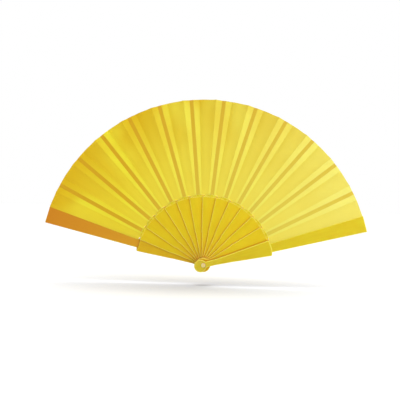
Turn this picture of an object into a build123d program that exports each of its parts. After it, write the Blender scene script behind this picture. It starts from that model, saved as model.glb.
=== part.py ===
"""Folding hand fan: thin sticks between two guards, turning on one rivet, with a pleated cloth leaf.

Millimetres. The fan stands open and upright: +X towards the front guard, +Y away from the face
that is looked at, +Z up. The origin is on the rivet's axis, halfway through the stack. A plane
laid along a stick has x along the stick and z out of the face that is drawn on.
"""

import os
from math import cos, hypot, radians, sin, sqrt, tan

from build123d import *

# The fan as a whole
stick_count = 12
spread_angle = 148.1
leaf_radius = 218.0
leaf_inner_gap = 0.3
leaf_thickness = 0.15

# The stack, from front to back
stick_thickness = 0.9
layer_gap = 0.3
guard_thickness = 2.8

# Necks and grips, as long on the guards as on the inner sticks
neck_length = 15.0
neck_half_width = 3.75
neck_fillet = 3.0
grip_length = 41.5
grip_step_length = 1.5

# Inner sticks: a lip in front of the leaf and a tongue behind it
stick_radius = 93.0
stick_half_width = 12.2
stick_arch_radius = 19.0
stick_chamfer = 0.2
grip_half_width = 6.85
grip_step = 0.75
lip_length = 3.5
lip_thickness = 0.3
tongue_half_width = 2.4
tongue_thickness = 0.35
tongue_end_gap = 2.0

# Guards
guard_setback = 1.0
guard_half_width = 10.4
guard_arch_radius = 30.0
guard_grip_half_width = 5.7
guard_grip_step = 0.3
guard_corner_fillet = 1.8
guard_chamfer = 0.6
guard_tongue_thickness = 0.8
guard_tongue_step = 0.4
guard_tongue_margin = 1.4
guard_tongue_fillet = 1.2
guard_tongue_chamfer = 0.3

# Heads
head_radius = 9.2
front_head_radius = 8.2
front_head_offset = 3.9
front_rim_width = 1.2
front_dish_depth = 0.5
back_dish_radius = 4.4
back_dish_depth = 1.5

# Rivet
shaft_radius = 1.6
running_clearance = 0.05
rivet_head_radius = 2.8
rivet_head_height = 0.9
rivet_head_fillet = 0.6
cap_radius = 3.6
cap_thickness = 1.1
cap_fillet = 0.4
cap_clearance = 0.1
cap_socket_depth = 0.7

# Worked out from the above
guard_radius = stick_radius - guard_setback
slot_radius = stick_radius - lip_length
leaf_inner_radius = slot_radius + leaf_inner_gap
pitch_angle = spread_angle / (stick_count + 1)
panel_angle = pitch_angle / 2
layer_pitch = stick_thickness + layer_gap
back_guard_number = stick_count + 1
stack_half_depth = (stick_count * layer_pitch + layer_gap) / 2
guard_outer_depth = stack_half_depth + guard_thickness
guard_lip_thickness = guard_tongue_step + guard_tongue_thickness
guard_leaf_depth = guard_outer_depth - guard_lip_thickness - leaf_thickness
hole_radius = shaft_radius + running_clearance
FRONT = -1
BACK = 1


def stick_angle(number):
    """Polar angle of a centre line: 0 is the front guard, back_guard_number the back guard."""
    return 90 - spread_angle / 2 + number * pitch_angle


def stick_depth(number):
    """Y of the middle of an inner stick."""
    return (number - (stick_count + 1) / 2) * layer_pitch


def plane_along(angle, depth, facing=FRONT):
    """A plane along a centre line, at this Y, facing out of the front or the back."""
    along = (cos(radians(angle)), 0, sin(radians(angle)))
    return Plane(origin=(0, depth, 0), x_dir=along, z_dir=(0, facing, 0))


def blade_shape(top_radius, arch_radius, half_width, grip, step):
    """The outline of a blade, from the rivet to its arched top.

    grip is half the grip's width, and step is how far each side steps out beyond it.
    """
    corner = top_radius - arch_radius + sqrt(arch_radius**2 - half_width**2)
    with BuildSketch() as blade:
        with BuildLine():
            side = Polyline(
                (0, neck_half_width),
                (neck_length, neck_half_width),
                (grip_length, grip),
                (grip_length + grip_step_length, grip + step),
                (corner, half_width),
            )
            mirror(side, about=Plane.XZ)
            ThreePointArc((corner, half_width), (top_radius, 0), (corner, -half_width))
            Line((0, neck_half_width), (0, -neck_half_width))
        make_face()
    return blade.sketch


def neck_corners(outline):
    """The two corners where the neck leaves the round head."""
    return outline.vertices().filter_by(lambda v: hypot(v.X, v.Z) < neck_length)


def far_corners(outline):
    """The two corners furthest from the rivet."""
    return outline.vertices().sort_by(lambda v: hypot(v.X, v.Z))[-2:]


def beyond_slot(width):
    """Adds a rectangle that covers a blade from the slot outwards to the open sketch."""
    with Locations((slot_radius, 0)):
        Rectangle(leaf_radius, 2 * width, align=(Align.MIN, Align.CENTER))


def inner_stick(number):
    """Thin blade with a lip in front of the leaf's inner edge and a tongue behind the leaf."""
    angle = stick_angle(number)
    front = stick_depth(number) - stick_thickness / 2
    back = front + stick_thickness
    tongue_front = front + lip_thickness + leaf_thickness
    tongue_length = leaf_radius - tongue_end_gap - grip_length
    with BuildPart() as stick:
        with BuildSketch(plane_along(angle, front)) as outline:
            Circle(head_radius)
            add(
                blade_shape(
                    stick_radius, stick_arch_radius, stick_half_width, grip_half_width, grip_step
                )
            )
            fillet(neck_corners(outline), neck_fillet)
        extrude(amount=-stick_thickness)
        chamfer(stick.faces().sort_by(Axis.Y)[0].edges(), stick_chamfer)
        with BuildSketch(plane_along(angle, back)):
            beyond_slot(stick_half_width)
        extrude(amount=stick_thickness - lip_thickness, mode=Mode.SUBTRACT)
        with BuildSketch(plane_along(angle, tongue_front)):
            with Locations((grip_length, 0)):
                Rectangle(tongue_length, 2 * tongue_half_width, align=(Align.MIN, Align.CENTER))
        extrude(amount=-tongue_thickness)
        with BuildSketch(plane_along(angle, front)):
            Circle(hole_radius)
        extrude(amount=-stick_thickness, mode=Mode.SUBTRACT)
    return stick


def guard_tongue_outline():
    """Adds the wedge that covers the folded leaf, with a margin, to the open sketch."""
    spread = tan(radians(panel_angle / 2))
    root = slot_radius * spread + guard_tongue_margin
    tip = leaf_radius * spread
    Polygon(
        (slot_radius, root),
        (slot_radius, -root),
        (leaf_radius, -tip),
        (leaf_radius, tip),
        align=None,
    )


def guard(number, facing, disc_radius, disc_offset, dish_radius, dish_offset, dish_depth):
    """Thick outer blade, hollowed behind its wedge-shaped tongue to leave room for the pleats."""
    angle = stick_angle(number)
    outer = facing * guard_outer_depth
    inner = facing * stack_half_depth
    tongue_outer = outer - facing * guard_tongue_step
    hollow_depth = guard_thickness - guard_lip_thickness
    outwards = Axis((0, 0, 0), (0, facing, 0))
    with BuildPart() as piece:
        with BuildSketch(plane_along(angle, outer, facing)) as outline:
            with Locations((-disc_offset, 0)):
                Circle(disc_radius)
            add(
                blade_shape(
                    guard_radius,
                    guard_arch_radius,
                    guard_half_width,
                    guard_grip_half_width,
                    guard_grip_step,
                )
            )
            fillet(neck_corners(outline), neck_fillet)
            fillet(far_corners(outline), guard_corner_fillet)
        extrude(amount=-guard_thickness)
        chamfer(piece.faces().sort_by(outwards)[-1].edges(), guard_chamfer)
        with BuildSketch(plane_along(angle, inner, facing)):
            beyond_slot(guard_half_width)
        extrude(amount=hollow_depth, mode=Mode.SUBTRACT)
        with BuildSketch(plane_along(angle, outer, facing)):
            with Locations((-dish_offset, 0)):
                Circle(dish_radius)
        extrude(amount=-dish_depth, mode=Mode.SUBTRACT)
        with BuildSketch(plane_along(angle, outer, facing)):
            Circle(hole_radius)
        extrude(amount=-guard_thickness, mode=Mode.SUBTRACT)
    with BuildPart() as tongue:
        with BuildSketch(plane_along(angle, tongue_outer, facing)) as wedge:
            guard_tongue_outline()
            fillet(far_corners(wedge), guard_tongue_fillet)
        extrude(amount=-guard_tongue_thickness)
        chamfer(tongue.faces().sort_by(outwards)[-1].edges(), guard_tongue_chamfer)
    with BuildPart() as whole:
        add(piece.part)
        add(tongue.part)
    return whole


def leaf_panel(start_angle, front):
    """One flat panel of the leaf, from start_angle anticlockwise, with its front face at this Y."""
    with BuildPart() as panel:
        with BuildSketch(plane_along(start_angle, front)):
            with BuildLine():
                rim = CenterArc((0, 0), leaf_radius, 0, panel_angle)
                inner = CenterArc((0, 0), leaf_inner_radius, 0, panel_angle)
                Line(inner @ 0, rim @ 0)
                Line(inner @ 1, rim @ 1)
            make_face()
        extrude(amount=-leaf_thickness)
    return panel


def glued_panel_front(number):
    """Y of the front of the panel glued to a stick, or to a guard at either end."""
    if number == 0:
        return -guard_leaf_depth - leaf_thickness
    if number == back_guard_number:
        return guard_leaf_depth
    return stick_depth(number) - stick_thickness / 2 + lip_thickness


def rivet_pin():
    """Pin with a low round head, which sits in the front guard's dish."""
    seat = -guard_outer_depth + front_dish_depth
    shaft_end = cap_inner_face + cap_socket_depth
    with BuildPart() as pin:
        with BuildSketch(plane_along(0, seat)):
            Circle(rivet_head_radius)
        extrude(amount=rivet_head_height)
        fillet(pin.faces().sort_by(Axis.Y)[0].edges(), rivet_head_fillet)
        with BuildSketch(plane_along(0, seat)):
            Circle(shaft_radius)
        extrude(amount=seat - shaft_end)
    return pin


def rivet_cap():
    """Cap pressed on the pin's end, sunk in the back guard's dish."""
    with BuildPart() as cap:
        with BuildSketch(plane_along(0, cap_inner_face, BACK)):
            Circle(cap_radius)
        extrude(amount=cap_thickness)
        fillet(cap.faces().sort_by(Axis.Y)[-1].edges(), cap_fillet)
        with BuildSketch(plane_along(0, cap_inner_face, BACK)):
            Circle(shaft_radius)
        extrude(amount=cap_socket_depth, mode=Mode.SUBTRACT)
    return cap


def write_piece(piece, node):
    """Labels a piece and writes its STEP file, whose name is the node's name."""
    piece.part.label = node
    export_step(piece.part, f"parts/{node}.step")


cap_inner_face = guard_outer_depth - back_dish_depth + cap_clearance
front_dish_radius = front_head_radius - front_rim_width

os.makedirs("parts", exist_ok=True)

front_guard = guard(
    0,
    FRONT,
    front_head_radius,
    front_head_offset,
    front_dish_radius,
    front_head_offset,
    front_dish_depth,
)
back_guard = guard(back_guard_number, BACK, head_radius, 0, back_dish_radius, 0, back_dish_depth)
write_piece(front_guard, "front_guard")
write_piece(back_guard, "back_guard")
write_piece(rivet_pin(), "rivet_pin")
write_piece(rivet_cap(), "rivet_cap")

for number in range(1, back_guard_number):
    write_piece(inner_stick(number), f"stick_{number:02d}")

for number in range(back_guard_number + 1):
    start = stick_angle(number) - panel_angle / 2
    write_piece(leaf_panel(start, glued_panel_front(number)), f"leaf_glued_{number:02d}")

for number in range(1, back_guard_number + 1):
    start = stick_angle(number) - 3 * panel_angle / 2
    gap_middle = stick_depth(number) - stick_thickness / 2 - layer_gap / 2
    write_piece(leaf_panel(start, gap_middle - leaf_thickness / 2), f"leaf_fold_{number:02d}")
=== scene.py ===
# %% [markdown]
# # Dressing a folding hand fan
#
# The fan is already measured and built as a mechanism: two guards, twelve thin sticks and a
# leaf of cloth turn on one rivet. This script loads that mechanism as a fixed frame, and gives
# it the finish of the real thing: moulded plastic sticks and a pleated cloth leaf. The plastic
# parts keep their exact shapes. The cloth is made again here, because cloth has to crease,
# bow and bend, and a stack of flat plates can't.

# %% Load the frame
import math

import bmesh
import bpy
from mathutils import Matrix, Vector


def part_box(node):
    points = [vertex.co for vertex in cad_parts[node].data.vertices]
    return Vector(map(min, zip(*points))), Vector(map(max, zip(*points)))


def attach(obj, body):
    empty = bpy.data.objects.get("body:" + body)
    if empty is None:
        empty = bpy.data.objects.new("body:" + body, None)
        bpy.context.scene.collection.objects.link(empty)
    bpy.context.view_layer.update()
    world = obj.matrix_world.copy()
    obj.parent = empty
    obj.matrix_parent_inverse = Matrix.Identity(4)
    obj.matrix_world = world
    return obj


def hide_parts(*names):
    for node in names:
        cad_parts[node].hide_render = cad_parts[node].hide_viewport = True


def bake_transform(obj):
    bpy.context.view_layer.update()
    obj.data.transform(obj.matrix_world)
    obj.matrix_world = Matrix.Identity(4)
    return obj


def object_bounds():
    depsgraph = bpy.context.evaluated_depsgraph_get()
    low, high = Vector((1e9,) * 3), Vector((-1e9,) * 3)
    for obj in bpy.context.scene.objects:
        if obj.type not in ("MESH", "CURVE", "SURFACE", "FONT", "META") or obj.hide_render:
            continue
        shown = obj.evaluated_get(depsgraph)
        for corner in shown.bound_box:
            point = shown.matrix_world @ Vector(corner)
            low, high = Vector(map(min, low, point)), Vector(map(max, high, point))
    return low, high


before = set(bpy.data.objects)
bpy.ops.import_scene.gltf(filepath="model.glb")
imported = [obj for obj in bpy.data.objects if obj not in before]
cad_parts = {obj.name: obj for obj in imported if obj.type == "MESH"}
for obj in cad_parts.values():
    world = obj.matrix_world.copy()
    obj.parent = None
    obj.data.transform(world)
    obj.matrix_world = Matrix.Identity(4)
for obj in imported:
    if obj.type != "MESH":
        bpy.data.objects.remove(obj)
cad_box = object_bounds()

# %% [markdown]
# ## Taking the fan's own measures
#
# Everything turns about the rivet, so the useful measures are a distance from the rivet and an
# angle round it, and not a width and a height. A node's points give both. Measures taken from
# the frame, and not typed in, keep the cloth on its sticks if the fan is ever made larger.

# %% Radius and angle of any part, seen from the rivet
def seen_from_rivet(node):
    """Least and greatest radius in metres, then least and greatest angle in radians."""
    points = [corner.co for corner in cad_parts[node].data.vertices]
    radii = [math.hypot(point.x, point.z) for point in points]
    angles = [math.atan2(point.z, point.x) for point in points]
    return min(radii), max(radii), min(angles), max(angles)


def depth_of(node):
    """The middle of a part's depth, from front to back."""
    low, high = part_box(node)
    return (low.y + high.y) / 2


stick_count = sum(name.startswith("stick_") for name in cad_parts)
back_number = stick_count + 1
cloth_start, leaf_radius, first_side, last_side = seen_from_rivet("leaf_glued_01")
half_panel = (last_side - first_side) / 2
print("leaf from", round(cloth_start * 1000, 1), "to", round(leaf_radius * 1000, 1), "mm")
print("half a panel turns", round(math.degrees(half_panel), 3), "degrees")

# %% Where each glued panel lies
def glued_node(number):
    """The leaf's panel on a stick: 0 is the front guard's and back_number the back guard's."""
    return f"leaf_glued_{number:02d}"


def body_at(number):
    """The body that carries that panel."""
    if number == 0:
        return "front_guard"
    if number == back_number:
        return "back_guard"
    return f"stick_{number:02d}"


panel_angle = []
panel_depth = []
for number in range(back_number + 1):
    low_side, high_side = seen_from_rivet(glued_node(number))[2:]
    panel_angle.append((low_side + high_side) / 2)
    panel_depth.append(depth_of(glued_node(number)))
front_panel_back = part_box("leaf_glued_00")[1].y
cloth_room = panel_depth[1] - front_panel_back
print("room for pleats in front of the first stick:", round(cloth_room * 1000, 2), "mm")

# %% [markdown]
# ## Two small helpers for materials
#
# Colours are easiest to pick as the hex values of a paint program, which are sRGB, while the
# renderer works in linear light. One function turns one into the other. A second function adds
# a shader node with its settings and its links in one call, so that each material reads as a
# list of what happens to the surface.

# %% Colour and node helpers
def linear(hex_colour, alpha=1.0):
    """An sRGB hex colour such as "F2D21E" as linear RGBA."""
    parts = [int(hex_colour[i : i + 2], 16) / 255 for i in (0, 2, 4)]
    light = [p / 12.92 if p <= 0.04045 else ((p + 0.055) / 1.055) ** 2.4 for p in parts]
    return (*light, alpha)


def add_node(tree, kind, inputs=None, **settings):
    """Adds a node. An input is given by name or number, as a value or as the socket to link."""
    made = tree.nodes.new("ShaderNode" + kind)
    for name, value in settings.items():
        setattr(made, name, value)
    for key, value in (inputs or {}).items():
        if isinstance(value, bpy.types.NodeSocket):
            tree.links.new(value, made.inputs[key])
        else:
            made.inputs[key].default_value = value
    return made


def new_material(name):
    """An empty material with its output node."""
    material = bpy.data.materials.new(name)
    material.use_nodes = True
    material.node_tree.nodes.clear()
    output = add_node(material.node_tree, "OutputMaterial")
    return material, material.node_tree, output


print("helpers ready, mid yellow is", [round(v, 3) for v in linear("DEC306")])

# %% [markdown]
# ## Sticks and guards: injection-moulded polypropylene
#
# The sticks and guards of a cheap, strong fan are polypropylene shot into a steel mould. To the
# eye that gives a satin yellow which light enters a little way. Thin edges, where light passes,
# are painted paler as a painted highlight, and deep gaps are painted orange as painted shade. The
# melt ran from the rivet end outwards, and leaves faint streaks along each blade. The mould was
# spark-eroded, so the skin is very finely grained. Hands polish the grip. The front guard is a
# lemon yellow, and the back guard is painted deeper than the sticks, as painted shade.
#
# A streak pattern could be painted on each stick's own UV map, but the frame's parts have none.
# All sticks point at the rivet, so one pattern in polar coordinates runs along every one of
# them. The painted highlight on the edges comes from comparing the true normal with a rounded
# one, and the painted orange shade in the gaps from how much of the air around a point is closed
# off by its neighbours.

# %% Moulded polypropylene
def moulded_polypropylene(name, near, main, deep, edge, painted_gap_shade, roughness, grip_end):
    """Satin plastic, from the colour near the rivet outwards, with a painted highlight on its edges
    and painted shade in its gaps.
    """
    material, tree, output = new_material(name)
    place = add_node(tree, "TexCoord").outputs["Object"]
    split = add_node(tree, "SeparateXYZ", {0: place})
    turned = add_node(
        tree, "Math", {0: split.outputs["Z"], 1: split.outputs["X"]}, operation="ARCTAN2"
    )
    outwards = add_node(tree, "VectorMath", {0: place}, operation="LENGTH")

    # Streaks about 40 mm long and 2 mm wide, as the melt left them.
    along = add_node(tree, "Math", {0: outwards.outputs["Value"], 1: 25.0}, operation="MULTIPLY")
    across = add_node(tree, "Math", {0: turned.outputs[0], 1: 40.0}, operation="MULTIPLY")
    deeper = add_node(tree, "Math", {0: split.outputs["Y"], 1: 400.0}, operation="MULTIPLY")
    streak_place = add_node(
        tree, "CombineXYZ", {0: along.outputs[0], 1: across.outputs[0], 2: deeper.outputs[0]}
    )
    streaks = add_node(
        tree, "TexNoise", {"Vector": streak_place.outputs[0], "Scale": 1.0, "Detail": 3.0}
    )

    # Slow changes of depth in the plastic, about 20 mm across.
    clouds = add_node(tree, "TexNoise", {"Vector": place, "Scale": 50.0, "Detail": 2.0})
    uneven = add_node(
        tree,
        "Mix",
        {0: 0.5, 2: streaks.outputs["Fac"], 3: clouds.outputs["Fac"]},
        data_type="FLOAT",
    )
    tint = add_node(
        tree,
        "MapRange",
        {"Value": uneven.outputs[0], "From Min": 0.35, "From Max": 0.65},
        interpolation_type="SMOOTHSTEP",
    )
    # Towards the rivet the colour goes over to near. On the sticks and the back guard that is a
    # deeper orange, painted shade among the stacked heads.
    rivet_end_share = add_node(
        tree,
        "MapRange",
        {"Value": outwards.outputs["Value"], "From Min": grip_end * 0.3, "From Max": grip_end},
    )
    rivet_end_blend = add_node(
        tree,
        "Mix",
        {0: rivet_end_share.outputs[0], 6: linear(near), 7: linear(main)},
        data_type="RGBA",
    )
    body = add_node(
        tree,
        "Mix",
        {0: tint.outputs[0], 6: rivet_end_blend.outputs[2], 7: linear(deep)},
        data_type="RGBA",
    )

    # Within a millimetre or so of an edge the plastic is thin and passes more light, so the colour
    # there is painted paler: a painted highlight.
    rounded = add_node(tree, "Bevel", {"Radius": 0.0015}, samples=6)
    true_normal = add_node(tree, "NewGeometry")
    sameness = add_node(
        tree,
        "VectorMath",
        {0: rounded.outputs[0], 1: true_normal.outputs["Normal"]},
        operation="DOT_PRODUCT",
    )
    rim = add_node(
        tree,
        "MapRange",
        {"Value": sameness.outputs["Value"], "From Min": 0.9995, "From Max": 0.97},
        interpolation_type="SMOOTHSTEP",
    )
    painted_edge_highlight = add_node(
        tree,
        "Mix",
        {0: rim.outputs[0], 6: body.outputs[2], 7: linear(edge)},
        data_type="RGBA",
    )

    # Painted shade: down in gaps the colour is painted orange, for light that has crossed yellow
    # plastic many times.
    openness = add_node(tree, "AmbientOcclusion", {"Distance": 0.003}, samples=8)
    gap_shade_share = add_node(
        tree,
        "MapRange",
        {"Value": openness.outputs["AO"], "From Min": 0.92, "From Max": 0.35},
    )
    shown = add_node(
        tree,
        "Mix",
        {0: gap_shade_share.outputs[0], 6: painted_edge_highlight.outputs[2], 7: linear(painted_gap_shade)},
        data_type="RGBA",
    )

    # Hands polish the part of the stick that is held.
    worn = add_node(
        tree,
        "MapRange",
        {
            "Value": outwards.outputs["Value"],
            "From Min": grip_end,
            "From Max": grip_end * 0.6,
            "To Min": roughness,
            "To Max": roughness - 0.1,
        },
    )
    grain = add_node(tree, "TexNoise", {"Vector": place, "Scale": 1600.0, "Detail": 2.0})
    matted = add_node(
        tree, "Math", {0: grain.outputs["Fac"], 1: 0.14, 2: worn.outputs[0]}, operation="MULTIPLY_ADD"
    )
    # Real spark grain is 0.1 mm across. It is drawn at 0.6 mm, because finer would not show.
    skin = add_node(
        tree,
        "Bump",
        {
            "Strength": 0.25,
            "Distance": 0.00005,
            "Height": grain.outputs["Fac"],
            "Normal": rounded.outputs[0],
        },
    )
    surface = add_node(
        tree,
        "BsdfPrincipled",
        {
            "Base Color": shown.outputs[2],
            "Roughness": matted.outputs[0],
            "Normal": skin.outputs[0],
            "IOR": 1.49,
            "Specular IOR Level": 0.15,
            "Subsurface Weight": 0.3,
            "Subsurface Radius": (1.0, 0.5, 0.08),
            "Subsurface Scale": 0.0015,
        },
    )
    tree.links.new(surface.outputs[0], output.inputs["Surface"])
    return material


grip_end = 0.045
stick_plastic = moulded_polypropylene(
    "moulded polypropylene, yellow sticks",
    # near: a deeper orange at the rivet end, painted shade among the stacked heads.
    near="E2B41C",
    main="DFC61A",
    deep="DBBE14",
    # edge: a painted highlight along the thin edges.
    edge="FAEC6A",
    # painted orange shade down in the gaps between parts.
    painted_gap_shade="D07400",
    roughness=0.42,
    grip_end=grip_end,
)
front_plastic = moulded_polypropylene(
    "moulded polypropylene, lemon front guard",
    near="E2D848",
    main="D6C020",
    deep="D2B81C",
    edge="F2E85C",
    painted_gap_shade="C48800",
    roughness=0.4,
    grip_end=grip_end,
)
# The back guard's colours are painted deeper than the sticks', as painted shade: it lies at the back,
# away from the key lamp.
back_plastic = moulded_polypropylene(
    "moulded polypropylene, back guard with painted shade",
    near="D8A41C",
    main="DCB81E",
    deep="D8AE18",
    edge="ECD650",
    painted_gap_shade="BC7400",
    roughness=0.4,
    grip_end=grip_end,
)
rivet_plastic = moulded_polypropylene(
    "moulded polypropylene, pale rivet",
    near="F2DCA0",
    main="F2DCA0",
    deep="EACB7C",
    edge="F8EABC",
    painted_gap_shade="D8A040",
    roughness=0.3,
    grip_end=grip_end,
)
plastics = (stick_plastic, front_plastic, back_plastic, rivet_plastic)
print("plastics:", " / ".join(plastic.name for plastic in plastics))

# %% Give each moulded part its plastic
def finish_part(node, material):
    """Puts a material in every slot of a part of the frame."""
    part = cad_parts[node]
    if not part.material_slots:
        part.data.materials.append(material)
    for place in part.material_slots:
        place.material = material


for number in range(1, back_number):
    finish_part(body_at(number), stick_plastic)
finish_part("front_guard", front_plastic)
finish_part("back_guard", back_plastic)
finish_part("rivet_pin", rivet_plastic)
finish_part("rivet_cap", rivet_plastic)
print("moulded parts finished:", stick_count + 4)

# %% [markdown]
# ## The leaf's cloth: plain-woven polyester, heat-set
#
# The leaf is one half ring of thin polyester, woven one thread over and one under, dyed, cut
# with a hot knife and pressed into pleats with heat. It is thin enough for light to come through
# from behind, so the cloth glows. The strip glued to each stick is deeper in colour: glue fills
# the weave, and on top of that the colour carries painted shade where the stick stops the light.
# The hot knife leaves a smooth line of melted thread along the cut, painted paler, partly as a
# painted highlight. The colours also carry painted light and shade: the glued panels paler than
# the folding ones, the right end paler than the left, and the left end's rim darker in patches.
# Threads run straight across the whole leaf, whichever way a pleat points, because it was woven
# before it was pleated.
#
# A cloth material needs a coordinate that stays on the cloth when it moves. Each strip of leaf
# carries a UV map with its place in the uncut cloth, in metres, and an attribute with its
# distance to the side of its stick, its distance from the rivet and its distance from the cut.

# %% Woven polyester
def woven_polyester(name, flat, folding, left_rim_shade, glued, hem, glued_half_width, through):
    """Thin woven cloth that light comes through, glued to a strip of the given half width.

    flat, folding and glued give a colour at the leaf's right end and one at its left end, and
    glued a third at the rim: painted paler at the right end, as painted light, and deeper at the
    left end and the rim, as painted shade. flat is painted paler than folding, as light and shade
    across the pleats, and glued deeper, partly as painted shade of the stick behind. ripe is the
    painted shade that the free cloth turns to at the left end's rim, hem the colour of the cut,
    painted paler partly as a highlight, and through the share of light that comes through.
    """
    material, tree, output = new_material(name)
    cloth = add_node(tree, "UVMap", uv_map="cloth").outputs[0]
    panel = add_node(tree, "Attribute", attribute_name="panel").outputs["Vector"]
    split = add_node(tree, "SeparateXYZ", {0: panel})
    sideways, outwards, from_cut = split.outputs

    # Real threads are 0.25 mm apart. They are drawn 1 mm apart, because finer would not show.
    thread = 0.001
    threads = add_node(
        tree, "Mapping", {"Vector": cloth, "Scale": (1 / thread, 1 / thread, 1.0)}
    ).outputs[0]
    wave = math.pi / 10
    warp = add_node(tree, "TexWave", {"Vector": threads, "Scale": wave}, bands_direction="X")
    weft = add_node(tree, "TexWave", {"Vector": threads, "Scale": wave}, bands_direction="Y")
    over = add_node(tree, "TexChecker", {"Vector": threads, "Scale": 1.0})
    weave = add_node(
        tree,
        "Mix",
        {0: over.outputs["Fac"], 2: warp.outputs["Fac"], 3: weft.outputs["Fac"]},
        data_type="FLOAT",
    )

    # Thread is never even: thick and thin lengths some 30 mm long, both ways.
    warp_place = add_node(tree, "Mapping", {"Vector": cloth, "Scale": (900.0, 30.0, 1.0)})
    weft_place = add_node(tree, "Mapping", {"Vector": cloth, "Scale": (30.0, 900.0, 1.0)})
    warp_slub = add_node(
        tree, "TexNoise", {"Vector": warp_place.outputs[0], "Scale": 1.0, "Detail": 2.0}
    )
    weft_slub = add_node(
        tree, "TexNoise", {"Vector": weft_place.outputs[0], "Scale": 1.0, "Detail": 2.0}
    )
    slub = add_node(
        tree,
        "Mix",
        {0: 0.5, 2: warp_slub.outputs["Fac"], 3: weft_slub.outputs["Fac"]},
        data_type="FLOAT",
    )
    clouds = add_node(tree, "TexNoise", {"Vector": cloth, "Scale": 35.0, "Detail": 3.0})
    uneven = add_node(
        tree,
        "Mix",
        {0: 0.55, 2: slub.outputs[0], 3: clouds.outputs["Fac"]},
        data_type="FLOAT",
    )
    tint = add_node(
        tree, "MapRange", {"Value": uneven.outputs[0], "From Min": 0.38, "From Max": 0.64}
    )
    # Painted light and shade across the pleats: the glued panel's flanks, which face the key lamp,
    # are painted paler, and the folding panel deeper.
    slope = add_node(tree, "Math", {0: sideways, 1: outwards}, operation="DIVIDE")
    folds = add_node(
        tree,
        "MapRange",
        {
            "Value": slope.outputs[0],
            "From Min": math.tan(half_panel) * 0.94,
            "From Max": math.tan(half_panel) * 1.06,
        },
    )
    deepened = add_node(
        tree, "Math", {0: tint.outputs[0], 1: 0.5, 2: -0.25}, operation="MULTIPLY_ADD"
    )
    depth = add_node(
        tree, "Math", {0: folds.outputs[0], 1: deepened.outputs[0]}, operation="ADD", use_clamp=True
    )
    # Painted light and shade: paler towards the leaf's right end, near the key lamp, and deeper
    # towards its left end.
    across = add_node(tree, "SeparateXYZ", {0: cloth})
    leftwards = add_node(
        tree,
        "MapRange",
        {
            "Value": across.outputs["X"],
            "From Min": leaf_radius * 0.8,
            "From Max": -leaf_radius * 0.5,
        },
    )
    glued_panel_lit = add_node(
        tree,
        "Mix",
        {0: leftwards.outputs[0], 6: linear(flat[0]), 7: linear(flat[1])},
        data_type="RGBA",
    )
    folding_panel_shaded = add_node(
        tree,
        "Mix",
        {0: leftwards.outputs[0], 6: linear(folding[0]), 7: linear(folding[1])},
        data_type="RGBA",
    )
    lit_and_shaded_panels = add_node(
        tree,
        "Mix",
        {0: depth.outputs[0], 6: glued_panel_lit.outputs[2], 7: folding_panel_shaded.outputs[2]},
        data_type="RGBA",
    )
    # Painted shade, darker towards the left end's rim, in patches some 60 mm wide.
    rimwards = add_node(
        tree,
        "MapRange",
        {"Value": outwards, "From Min": cloth_start, "From Max": leaf_radius},
    )
    patches = add_node(tree, "TexNoise", {"Vector": cloth, "Scale": 16.0, "Detail": 1.0})
    patched = add_node(
        tree,
        "MapRange",
        {"Value": patches.outputs["Fac"], "From Min": 0.35, "From Max": 0.6},
        interpolation_type="SMOOTHSTEP",
    )
    rim_share_squared = add_node(tree, "Math", {0: rimwards.outputs[0], 1: 2.0}, operation="POWER")
    left_rim_share = add_node(
        tree, "Math", {0: rim_share_squared.outputs[0], 1: leftwards.outputs[0]}, operation="MULTIPLY"
    )
    left_rim_shade_share = add_node(
        tree, "Math", {0: left_rim_share.outputs[0], 1: patched.outputs[0]}, operation="MULTIPLY"
    )
    dyed = add_node(
        tree,
        "Mix",
        {0: left_rim_shade_share.outputs[0], 6: lit_and_shaded_panels.outputs[2], 7: linear(left_rim_shade)},
        data_type="RGBA",
    )

    # Glue fills the weave over the stick, out to an edge that is about 0.4 mm soft. The strip's
    # deeper colour is partly the glue and partly painted shade of the stick, which stops the light
    # from behind.
    aside = add_node(tree, "Math", {0: sideways}, operation="ABSOLUTE")
    gluing = add_node(
        tree,
        "MapRange",
        {
            "Value": aside.outputs[0],
            "From Min": glued_half_width + 0.0002,
            "From Max": glued_half_width - 0.0002,
        },
        interpolation_type="SMOOTHSTEP",
    )
    # The same painted light and shade from right to left under the glue, and painted shade deeper
    # towards the rim.
    glue_and_shade_here = add_node(
        tree,
        "Mix",
        {0: leftwards.outputs[0], 6: linear(glued[0]), 7: linear(glued[1])},
        data_type="RGBA",
    )
    pressed = add_node(tree, "Math", {0: rimwards.outputs[0], 1: 0.5}, operation="MULTIPLY")
    glue_and_shade = add_node(
        tree,
        "Mix",
        {0: pressed.outputs[0], 6: glue_and_shade_here.outputs[2], 7: linear(glued[2])},
        data_type="RGBA",
    )
    stuck = add_node(
        tree,
        "Mix",
        {0: gluing.outputs[0], 6: dyed.outputs[2], 7: glue_and_shade.outputs[2]},
        data_type="RGBA",
    )

    # The hot knife's line of melted thread, about a millimetre wide, painted paler: partly the melted
    # thread, partly a painted highlight.
    melted = add_node(
        tree,
        "MapRange",
        {"Value": from_cut, "From Min": 0.0016, "From Max": 0.0008},
        interpolation_type="SMOOTHSTEP",
    )
    shown = add_node(
        tree,
        "Mix",
        {0: melted.outputs[0], 6: stuck.outputs[2], 7: linear(hem)},
        data_type="RGBA",
    )

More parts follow.
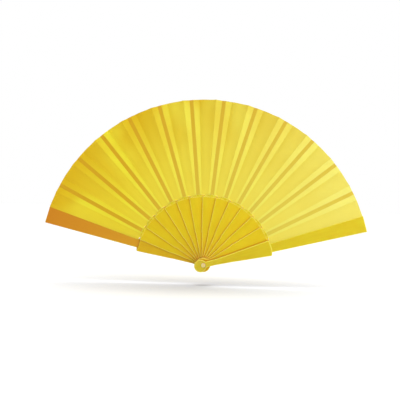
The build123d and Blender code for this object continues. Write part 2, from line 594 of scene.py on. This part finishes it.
    # Melted thread is smooth and has lost its weave.
    rough = add_node(
        tree,
        "MapRange",
        {"Value": melted.outputs[0], "To Min": 0.62, "To Max": 0.4},
    )
    raised = add_node(
        tree, "Math", {0: weave.outputs[0], 1: 0.6, 2: slub.outputs[0]}, operation="MULTIPLY_ADD"
    )
    bump = add_node(
        tree, "Bump", {"Strength": 0.35, "Distance": 0.00012, "Height": raised.outputs[0]}
    )
    lit = add_node(
        tree,
        "BsdfPrincipled",
        {
            "Base Color": shown.outputs[2],
            "Roughness": rough.outputs[0],
            "Normal": bump.outputs[0],
            "IOR": 1.5,
            "Specular IOR Level": 0.25,
            "Sheen Weight": 0.15,
            "Sheen Roughness": 0.4,
        },
    )
    behind = add_node(
        tree, "BsdfTranslucent", {"Color": shown.outputs[2], "Normal": bump.outputs[0]}
    )
    # Glue and plastic stop most of the light that comes through.
    open_weave = add_node(
        tree, "MapRange", {"Value": gluing.outputs[0], "To Min": through, "To Max": through * 0.3}
    )
    cloth_shader = add_node(
        tree, "MixShader", {0: open_weave.outputs[0], 1: lit.outputs[0], 2: behind.outputs[0]}
    )
    tree.links.new(cloth_shader.outputs[0], output.inputs["Surface"])
    return material


# Glue lies as wide as a stick's tongue, and right across the panel on a guard.
tongue_half = 0.0024
guard_glue_half = 0.02
leaf_cloth = woven_polyester(
    "woven polyester, heat-set leaf",
    # flat and folding: painted light and shade across the pleats, each paler at the right end.
    flat=("F4EE8A", "F4EC48"),
    folding=("F2E87A", "F2E444"),
    # ripe: painted shade at the left end's rim.
    left_rim_shade="EACE20",
    # glued: glue plus painted shade of the stick behind, deeper to the left and at the rim.
    glued=("E6DC58", "E0B41C", "DEA80C"),
    # hem: the cut, painted paler, partly as a highlight.
    hem="FFF04A",
    glued_half_width=tongue_half,
    through=0.5,
)
# Over a guard the glued cloth is painted deep orange: partly glue over solid plastic, partly painted
# shade.
guard_cloth = woven_polyester(
    "woven polyester, glued over a guard",
    flat=("E2C040", "E2C040"),
    folding=("E2C040", "E2C040"),
    left_rim_shade="E2C040",
    glued=("E4B430", "DC9E1C", "CA6800"),
    hem="E09C20",
    glued_half_width=guard_glue_half,
    through=0.2,
)
print("cloths:", leaf_cloth.name, "/", guard_cloth.name)

# %% [markdown]
# ## How the leaf folds
#
# Seen from the front, each stick carries a narrow glued panel with a free flank at either side,
# and a folding panel joins it to the next stick on its right, which lies one layer nearer.
# The left crease of a glued panel points forwards and the right one backwards, because a closed
# fan tucks each folding panel in front of its own stick and behind the next one. So the leaf is
# a row of steps, deep at the rim and flat at the sticks' arched tops.
#
# The cloth is made as strips, one for each stick: glued panel and folding panel together, with
# the crease between them in one mesh. A strip starts as a flat grid four zones wide: left
# flank, glued band, right flank, folding panel. The folding panel's columns are spaced by an
# easing curve, so they lie closer together near its creases.

# %% The pleats' measures
flank, band, fold = 1, 3, 4
columns_per_zone = 8
rows = 48
cloth_thickness = 0.00012
lip_over_cloth = 0.0032
stick_top = cloth_start + lip_over_cloth
arch_radius = 0.019
rim_slant = 0.0004
guard_pleat = cloth_room - 0.0001
extra_pleat = 0.0022


def pleat_height(number, radius):
    """How far a stick's creases stand off its panel: none at the sticks' tops, most at the rim."""
    if number in (0, back_number):
        return 0.0
    middle = math.sin(math.pi * (number - 1) / (stick_count - 1))
    outer = guard_pleat + extra_pleat * middle
    return outer * max(0.0, (radius - stick_top) / (leaf_radius - stick_top))


print("pleats at the rim:", round(pleat_height(1, leaf_radius) * 1000, 2), "mm beside a guard,")
print(round(pleat_height(6, leaf_radius) * 1000, 2), "mm in the middle of the leaf")

# %% Outline of a strip
def between(start, end, share):
    """The value a share of the way from start to end."""
    return start + (end - start) * share


def eased(share):
    """The easing curve by which the folding panel's columns are spaced."""
    return share * share * (3 - 2 * share)


def turn_at(zone, radius):
    """Angle clockwise from the stick's centre line, for a place across the strip."""
    edge = math.asin(tongue_half / radius)
    marks = (-half_panel, -edge, edge, half_panel, 3 * half_panel)
    step = min(int(zone), 3)
    return between(marks[step], marks[step + 1], zone - step)


def straight_cut(angle, start, end):
    """Radius of a straight cut from start to end, which are (angle, radius), at this angle."""
    whole = math.sin(end[0] - start[0]) * start[1] * end[1]
    return whole / (
        start[1] * math.sin(angle - start[0]) + end[1] * math.sin(end[0] - angle)
    )


def rim_radius(zone):
    """The rim is straight across each panel, and a little further out at the back creases."""
    short, long = leaf_radius - rim_slant, leaf_radius + rim_slant
    angle = turn_at(zone, leaf_radius)
    if zone <= band:
        return straight_cut(angle, (-half_panel, short), (half_panel, long))
    return straight_cut(angle, (half_panel, long), (3 * half_panel, short))


def over_arch(zone):
    """Radius just outside the arched top of a stick."""
    turn = turn_at(zone, stick_top)
    centre = stick_top - arch_radius
    aside = centre * math.sin(turn)
    return centre * math.cos(turn) + math.sqrt(arch_radius**2 - aside**2) + 0.0001


def cut_radius(zone):
    """The inner cut rises over the stick's arched top before the cloth passes in front of it."""
    if zone <= 2:
        return cloth_start
    if zone <= band:
        return between(cloth_start, over_arch(band), zone - 2)
    in_front = band + 0.45
    if zone <= in_front:
        return over_arch(zone)
    return between(over_arch(in_front), cloth_start, min(1.0, (zone - in_front) / 0.2))


print("rim", round(rim_radius(3) * 1000, 2), "mm at a back crease,", end=" ")
print(round(rim_radius(0) * 1000, 2), "mm at a front crease")

# %% Depth of a strip
def strip_depth(number, zone, radius, rise):
    """Y of the cloth's middle surface across a strip."""
    own = panel_depth[number]
    height = pleat_height(number, radius)
    if zone <= flank:
        return own - height * (1 - zone)
    if zone <= 2:
        return own
    if zone <= band:
        return own + height * (zone - 2)
    # Shut, the folding panel lies between two glued ones, so it bows as they step round a stick.
    share = zone - band
    bowed = share + 0.11 * math.sin(2 * math.pi * share)
    near = panel_depth[number - 1] - pleat_height(number - 1, radius)
    # Loose cloth is never quite flat: a slow ripple that dies out at the creases.
    ripple = 0.0001 * rise * math.sin(math.pi * share) * math.sin(9 * rise + 2.3 * number)
    return between(own + height, near, bowed) + ripple


print("a middle panel steps", round((panel_depth[6] - panel_depth[5]) * 1000, 2), "mm")

# %% [markdown]
# ## Cutting and folding one strip
#
# `bmesh.ops.create_grid` gives the flat strip. Its columns are moved so that one unit is one
# zone, and its rows so that 0 is the inner cut and 1 the rim. The edges that are pressed or cut
# are marked sharp, so that a pleat shades as two planes and not as a wave. Then the points move
# to their folded places. A Solidify modifier gives the thickness last, because it follows the
# cloth at every pose.

# %% Cut a flat strip
def cut_strip(name, zones):
    """A flat strip: x counts zones from the left crease, y runs from the inner cut to the rim."""
    strip = bmesh.new()
    strip.loops.layers.uv.new("cloth")
    columns = columns_per_zone * zones
    bmesh.ops.create_grid(strip, x_segments=columns, y_segments=rows, size=0.5, calc_uvs=True)
    bmesh.ops.translate(strip, verts=strip.verts, vec=(0.5, 0.5, 0))
    bmesh.ops.scale(strip, verts=strip.verts, vec=(zones, 1, 1))
    for edge in strip.edges:
        pressed = all(abs(corner.co.x - band) < 0.01 for corner in edge.verts)
        edge.smooth = not (pressed or edge.is_boundary)
    for face in strip.faces:
        face.smooth = True
    mesh = bpy.data.meshes.new(name)
    strip.to_mesh(mesh)
    strip.free()
    piece = bpy.data.objects.new(name, mesh)
    bpy.context.scene.collection.objects.link(piece)
    return piece


# %% Fold it into place
def fold_strip(piece, number):
    """Moves a flat strip's points to their folded places, and notes where they were cut."""
    mesh = piece.data
    flat_places = []
    panel = mesh.attributes.new("panel", "FLOAT_VECTOR", "POINT")
    for corner in mesh.vertices:
        zone, rise = corner.co.x, corner.co.y
        if zone > band:
            zone = band + eased(zone - band)
        radius = between(cut_radius(zone), rim_radius(zone), rise)
        turn = turn_at(zone, radius)
        angle = panel_angle[number] - turn
        flat = Vector((radius * math.cos(angle), radius * math.sin(angle)))
        flat_places.append(flat)
        aside = radius * math.sin(turn)
        panel.data[corner.index].vector = (aside, radius, radius - cut_radius(zone))
        corner.co = (flat.x, strip_depth(number, zone, radius, rise), flat.y)
    for loop in mesh.loops:
        mesh.uv_layers["cloth"].data[loop.index].uv = flat_places[loop.vertex_index]
    mesh.update()


# %% Thickness, material and what the strip stands for
def finish_strip(piece, material, nodes):
    first_on_rim = len(piece.data.vertices) * rows // (rows + 1)
    rim = [corner for corner in piece.data.vertices if corner.index >= first_on_rim]
    width = sum((a.co - b.co).length for a, b in zip(rim, rim[1:]))
    area = sum(face.area for face in piece.data.polygons)
    wall = piece.modifiers.new("thickness", "SOLIDIFY")
    wall.thickness = cloth_thickness
    wall.offset = 0
    piece.data.materials.append(material)
    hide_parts(*nodes)
    return width, area


print("a strip's grid has", columns_per_zone * fold, "columns and", rows, "rows")

# %% Make the thirteen pleated strips
for number in range(1, back_number + 1):
    strip = cut_strip(f"leaf_pleat_{number:02d}", fold)
    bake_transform(strip)
    fold_strip(strip, number)
    over_guard = number == back_number
    width, area = finish_strip(
        strip,
        leaf_cloth,
        (glued_node(number), f"leaf_fold_{number:02d}"),
    )
    if over_guard:
        strip.data.materials.append(guard_cloth)
        # Its glued zones lie on the guard, and its folding zone is free cloth.
        for face in strip.data.polygons:
            column = face.index % (columns_per_zone * fold)
            on_guard = column < columns_per_zone * band
            face.material_index = 1 if on_guard else 0
    if number in (1, 7, back_number):
        print(strip.name, "cut", round(width * 1000, 1), "mm wide,", round(area * 1e4, 2), "cm2")

# %% [markdown]
# ## The last panel, on the front guard
#
# The leaf ends on the front guard. There is no pleat there: the panel lies flat against the
# inside of the guard's tongue, so it is the same strip without its folding zone, and it rides
# on the guard.

# %% The panel on the front guard
end_panel = cut_strip("leaf_end_panel", band)
fold_strip(end_panel, 0)
width, area = finish_strip(end_panel, guard_cloth, (glued_node(0),))
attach(end_panel, "front_guard")
print(end_panel.name, "cut", round(width * 1000, 1), "mm wide,", round(area * 1e4, 2), "cm2")

# %% [markdown]
# ## A pale floor and soft light
#
# The fan is shown over a white sweep, so the floor and the world are both near white and their
# meeting line disappears. The fan hangs a little above the floor, and a wide soft sun overhead
# leaves only a faint shadow under it, deepened by a painted shadow in the paper's colour. The key
# lamp stands to the right and throws light across the pleats, which is what makes each fold
# readable. A lamp behind shines through the cloth.

# %% Floor and world
floor_level = cad_box[0].z - 0.018
paper, paper_tree, paper_output = new_material("matt white paper sweep")
fibre = add_node(paper_tree, "TexNoise", {"Scale": 60.0, "Detail": 4.0})
paper_tint = add_node(
    paper_tree,
    "Mix",
    {0: fibre.outputs["Fac"], 6: linear("EBECF1"), 7: linear("E8E9EE")},
    data_type="RGBA",
)
# Painted shadow: paper this white bounces most shade away, so the paper is painted grey-blue where
# anything stands within 150 mm of it.
above = add_node(paper_tree, "AmbientOcclusion", {"Distance": 0.15}, samples=16)
painted_floor_shadow = add_node(
    paper_tree, "MapRange", {"Value": above.outputs["AO"], "From Min": 1.0, "From Max": 0.4}
)
paper_with_painted_shadow = add_node(
    paper_tree,
    "Mix",
    {0: painted_floor_shadow.outputs[0], 6: paper_tint.outputs[2], 7: linear("9CA2B8")},
    data_type="RGBA",
)
paper_surface = add_node(
    paper_tree, "BsdfPrincipled", {"Base Color": paper_with_painted_shadow.outputs[2], "Roughness": 0.9}
)
paper_tree.links.new(paper_surface.outputs[0], paper_output.inputs["Surface"])

floor_shape = bmesh.new()
bmesh.ops.create_grid(floor_shape, x_segments=4, y_segments=4, size=6.0)
bmesh.ops.translate(floor_shape, verts=floor_shape.verts, vec=(0, 0, floor_level))
floor_mesh = bpy.data.meshes.new("floor")
floor_shape.to_mesh(floor_mesh)
floor_shape.free()
floor_mesh.materials.append(paper)
floor = bpy.data.objects.new("floor", floor_mesh)
bpy.context.scene.collection.objects.link(floor)

world = bpy.data.worlds.new("white studio")
world.use_nodes = True
world.node_tree.nodes.clear()
fill = add_node(
    world.node_tree, "Background", {"Color": (1.0, 0.98, 0.9, 1.0), "Strength": 0.68}
)
backdrop = add_node(world.node_tree, "Background", {"Color": (1, 1, 1, 1), "Strength": 1.0})
seen = add_node(world.node_tree, "LightPath").outputs["Is Camera Ray"]
room = add_node(
    world.node_tree, "MixShader", {0: seen, 1: fill.outputs[0], 2: backdrop.outputs[0]}
)
add_node(world.node_tree, "OutputWorld", {"Surface": room.outputs[0]})
bpy.context.scene.world = world
bpy.context.scene.view_settings.view_transform = "Standard"
print("floor at", round(floor_level * 1000, 1), "mm")

# %% Lamps
def soft_lamp(name, place, aim, size, power, colour):
    """A square soft box at place, turned to aim."""
    lamp = bpy.data.lights.new(name, "AREA")
    lamp.color = colour
    lamp.shape = "SQUARE"
    lamp.size = size
    lamp.energy = power
    holder = bpy.data.objects.new(name, lamp)
    holder.location = place
    holder.rotation_euler = (Vector(aim) - Vector(place)).to_track_quat("-Z", "Y").to_euler()
    bpy.context.scene.collection.objects.link(holder)
    return holder


leaf_middle = (0, 0, leaf_radius * 0.5)
soft_lamp("key", (0.7, -0.4, 0.22), leaf_middle, 0.35, 1.8, (0.93, 1.0, 1.1))
soft_lamp("behind", (0.35, 0.9, 0.7), leaf_middle, 0.8, 2.0, (1.0, 1.0, 1.0))
overhead = bpy.data.lights.new("overhead", "SUN")
overhead.energy = 2.0
overhead.angle = math.radians(50)
overhead_holder = bpy.data.objects.new("overhead", overhead)
bpy.context.scene.collection.objects.link(overhead_holder)

# %% [markdown]
# ## The camera
#
# The fan faces the camera squarely, as in a catalogue, and leans a little to the right, which a
# roll of the camera gives. A lens at 0.8 m sees the front guard a little larger than the rear one.

# %% Camera
lean = math.radians(1.6)
fan_width = cad_box[1].x - cad_box[0].x
view_width = 0.528
camera_distance = 0.8
up = Vector((-math.sin(lean), 0, math.cos(lean)))
right = Vector((math.cos(lean), 0, math.sin(lean)))
aim = up * 0.0852 - right * 0.0042
lens = bpy.data.cameras.new("camera")
lens.sensor_width = 36.0
lens.lens = lens.sensor_width * camera_distance / view_width
camera = bpy.data.objects.new("camera", lens)
camera.matrix_world = Matrix.Translation(aim + Vector((0, -camera_distance, 0))) @ Matrix(
    ((right.x, up.x, 0, 0), (0, 0, -1, 0), (right.z, up.z, 0, 0), (0, 0, 0, 1))
)
bpy.context.scene.collection.objects.link(camera)
bpy.context.scene.camera = camera
print("lens", round(lens.lens, 1), "mm, fan", round(fan_width * 1000, 1), "mm wide")
